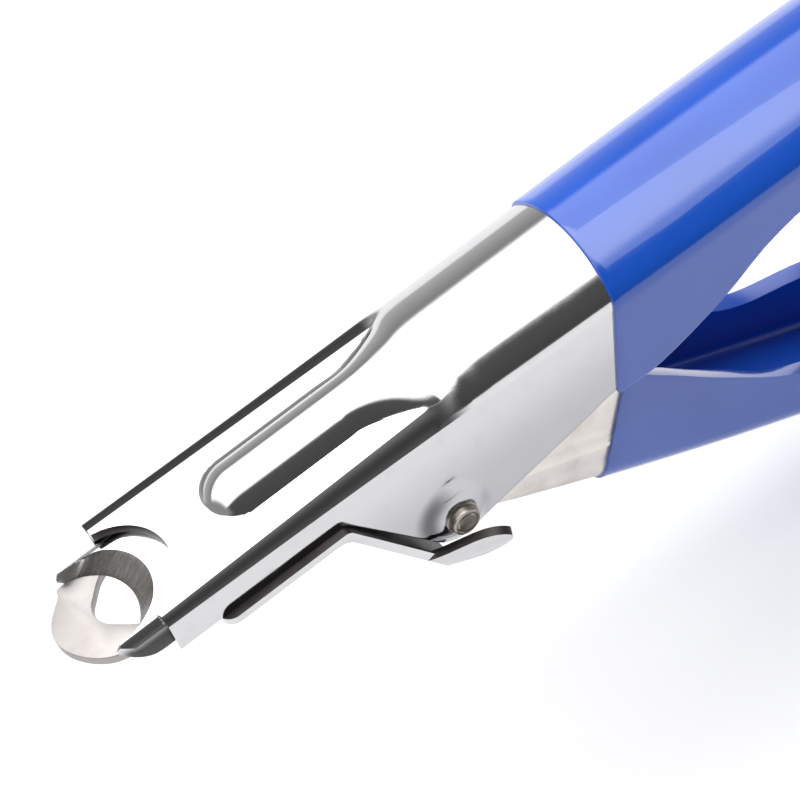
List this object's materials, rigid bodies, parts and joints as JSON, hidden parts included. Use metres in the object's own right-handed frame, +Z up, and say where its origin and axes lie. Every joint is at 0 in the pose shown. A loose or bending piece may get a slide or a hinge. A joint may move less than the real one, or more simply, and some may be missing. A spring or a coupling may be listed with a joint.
{
  "type": "guillotine nail clipper",
  "caption": "Plier-action guillotine pet nail clipper: sprung dipped handles push a U blade through a ring plate; a sliding cover frees the blade.",
  "frame": {"origin": "on the centre plane, where the front edge of the body meets the level of its flat top, just behind the nail opening", "axes": "+X to the nose, +Y to the side of the thumb tab, +Z up from the flat top of the body"},
  "size_m": [0.1357, 0.0241, 0.0622],
  "materials": {
    "chrome_steel": "polished",
    "blue_vinyl": "gloss",
    "nickel_rivet": "satin",
    "plain_steel": "satin",
    "spring_steel": "satin",
    "ring_steel": "satin",
    "lever_steel": "polished",
    "blade_steel": "polished, ground edge"
  },
  "bodies": {
    "body": {"body_channel": "chrome_steel", "upper_grip": "blue_vinyl", "pivot_rivet": "nickel_rivet", "rivet_washer_left": "nickel_rivet", "rivet_washer_right": "nickel_rivet", "lever_shim_left": "plain_steel", "lever_shim_right": "plain_steel", "pivot_sleeve": "plain_steel", "torsion_spring": "spring_steel", "ring_plate": "ring_steel", "cover_screw_front": "plain_steel", "cover_screw_rear": "plain_steel", "cover_washer_front": "plain_steel", "cover_washer_rear": "plain_steel"},
    "lever": {"lever_channel": "lever_steel", "lower_grip": "blue_vinyl"},
    "blade": {"cutting_blade": "blade_steel", "blade_carriage": "plain_steel", "blade_screw": "plain_steel"},
    "cover": {"cover_plate": "chrome_steel"}
  },
  "joints": [
    {"name": "lever_pivot", "type": "hinge", "parent": "body", "child": "lever", "pos_m": [-0.0315, 0, -0.0145], "axis": [0, 1, 0], "range_deg": [0, 27], "stiffness_Nm_per_rad": 0.35, "springref_deg": -20.05, "deforming": ["torsion_spring"]},
    {"name": "blade_slide", "type": "slide", "parent": "body", "child": "blade", "axis": [1, 0, 0], "range_m": [0, 0.00543]},
    {"name": "cover_slide", "type": "slide", "parent": "body", "child": "cover", "axis": [1, 0, 0], "range_m": [0, 0.006]}
  ],
  "couplings": [
    {"joint": "blade_slide", "follows": "lever_pivot", "m_per_rad": 0.011493}
  ]
}
